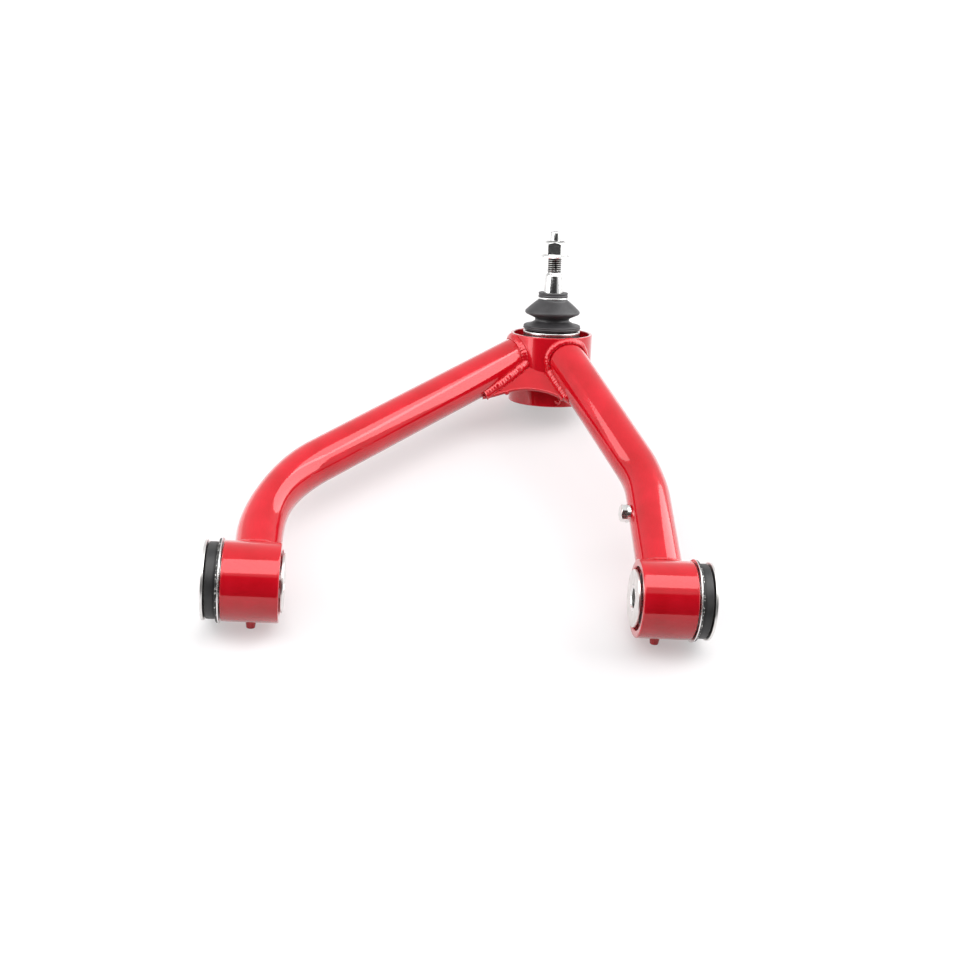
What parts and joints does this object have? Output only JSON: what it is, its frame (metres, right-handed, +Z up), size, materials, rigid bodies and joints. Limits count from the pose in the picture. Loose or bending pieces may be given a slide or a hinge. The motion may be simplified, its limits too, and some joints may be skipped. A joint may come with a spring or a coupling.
{
  "type": "suspension control arm",
  "caption": "Tubular suspension control arm: two bent tubes join a pair of rubber pivot bushes to a cup that holds a ball joint with dust boot, tapered stud and flange nut.",
  "frame": {"origin": "centre of the short leg's bush, on the pivot axis", "axes": "+X along the pivot axis from the long leg to the short leg, +Y from the pivot axis out towards the ball joint, +Z up as the arm lies on a bench with its stud upwards"},
  "size_m": [0.4048, 0.4102, 0.1682],
  "materials": {
    "red_paint": "gloss powder coat",
    "zinc_washer": "satin zinc plate",
    "bush_rubber": "satin moulded rubber",
    "phosphated_steel": "dark phosphate",
    "race_nylon": "moulded polymer",
    "bright_zinc": "bright zinc plate",
    "boot_rubber": "satin moulded rubber",
    "ground_steel": "ground and polished",
    "nut_zinc": "bright zinc plate",
    "black_nylon": "moulded nylon"
  },
  "bodies": {
    "arm": {"long_tube": "red_paint", "short_tube": "red_paint", "long_leg_barrel": "red_paint", "short_leg_barrel": "red_paint", "long_leg_peg": "red_paint", "short_leg_peg": "red_paint", "ball_joint_cup": "red_paint", "gusset_plate": "red_paint", "ball_joint_seat": "red_paint", "long_bush_shell": "zinc_washer", "short_bush_shell": "zinc_washer", "long_bush_rubber": "bush_rubber", "short_bush_rubber": "bush_rubber", "ball_joint_housing": "phosphated_steel", "lower_race": "race_nylon", "pressure_plate": "phosphated_steel", "preload_spring": "phosphated_steel", "end_cap": "phosphated_steel", "snap_ring": "phosphated_steel", "grease_fitting": "bright_zinc", "boot_ring": "bright_zinc", "line_rivet_nut": "bright_zinc", "line_washer": "bright_zinc", "line_bolt": "bright_zinc"},
    "long_sleeve": {"long_bush_sleeve": "zinc_washer", "long_outer_washer": "zinc_washer", "long_inner_washer": "zinc_washer"},
    "short_sleeve": {"short_bush_sleeve": "zinc_washer", "short_outer_washer": "zinc_washer", "short_inner_washer": "zinc_washer"},
    "ball_race": {"upper_race": "race_nylon", "dust_boot": "boot_rubber"},
    "boot_collar": {"boot_lip": "boot_rubber", "garter_ring": "bright_zinc"},
    "stud": {"ball_stud": "ground_steel", "stud_nut": "nut_zinc", "nut_lock_ring": "black_nylon"}
  },
  "joints": [
    {"name": "long_bush_twist", "type": "hinge", "parent": "arm", "child": "long_sleeve", "pos_m": [-0.33, 0, 0], "axis": [1, 0, 0], "range_deg": [-25, 25], "stiffness_Nm_per_rad": 20},
    {"name": "short_bush_twist", "type": "hinge", "parent": "arm", "child": "short_sleeve", "pos_m": [0, 0, 0], "axis": [1, 0, 0], "range_deg": [-25, 25], "stiffness_Nm_per_rad": 20},
    {"name": "ball_azimuth", "type": "hinge", "parent": "arm", "child": "ball_race", "pos_m": [-0.06865, 0.32464, 0.02667], "axis": [-0.0401, 0.4128, 0.91], "continuous": true},
    {"name": "ball_tilt", "type": "hinge", "parent": "ball_race", "child": "boot_collar", "pos_m": [-0.06865, 0.32464, 0.02667], "axis": [0.9992, 0.0166, 0.0365], "range_deg": [-25, 25], "deforming": ["dust_boot"]},
    {"name": "stud_spin", "type": "hinge", "parent": "boot_collar", "child": "stud", "pos_m": [-0.06865, 0.32464, 0.02667], "axis": [-0.0401, 0.4128, 0.91], "continuous": true}
  ]
}
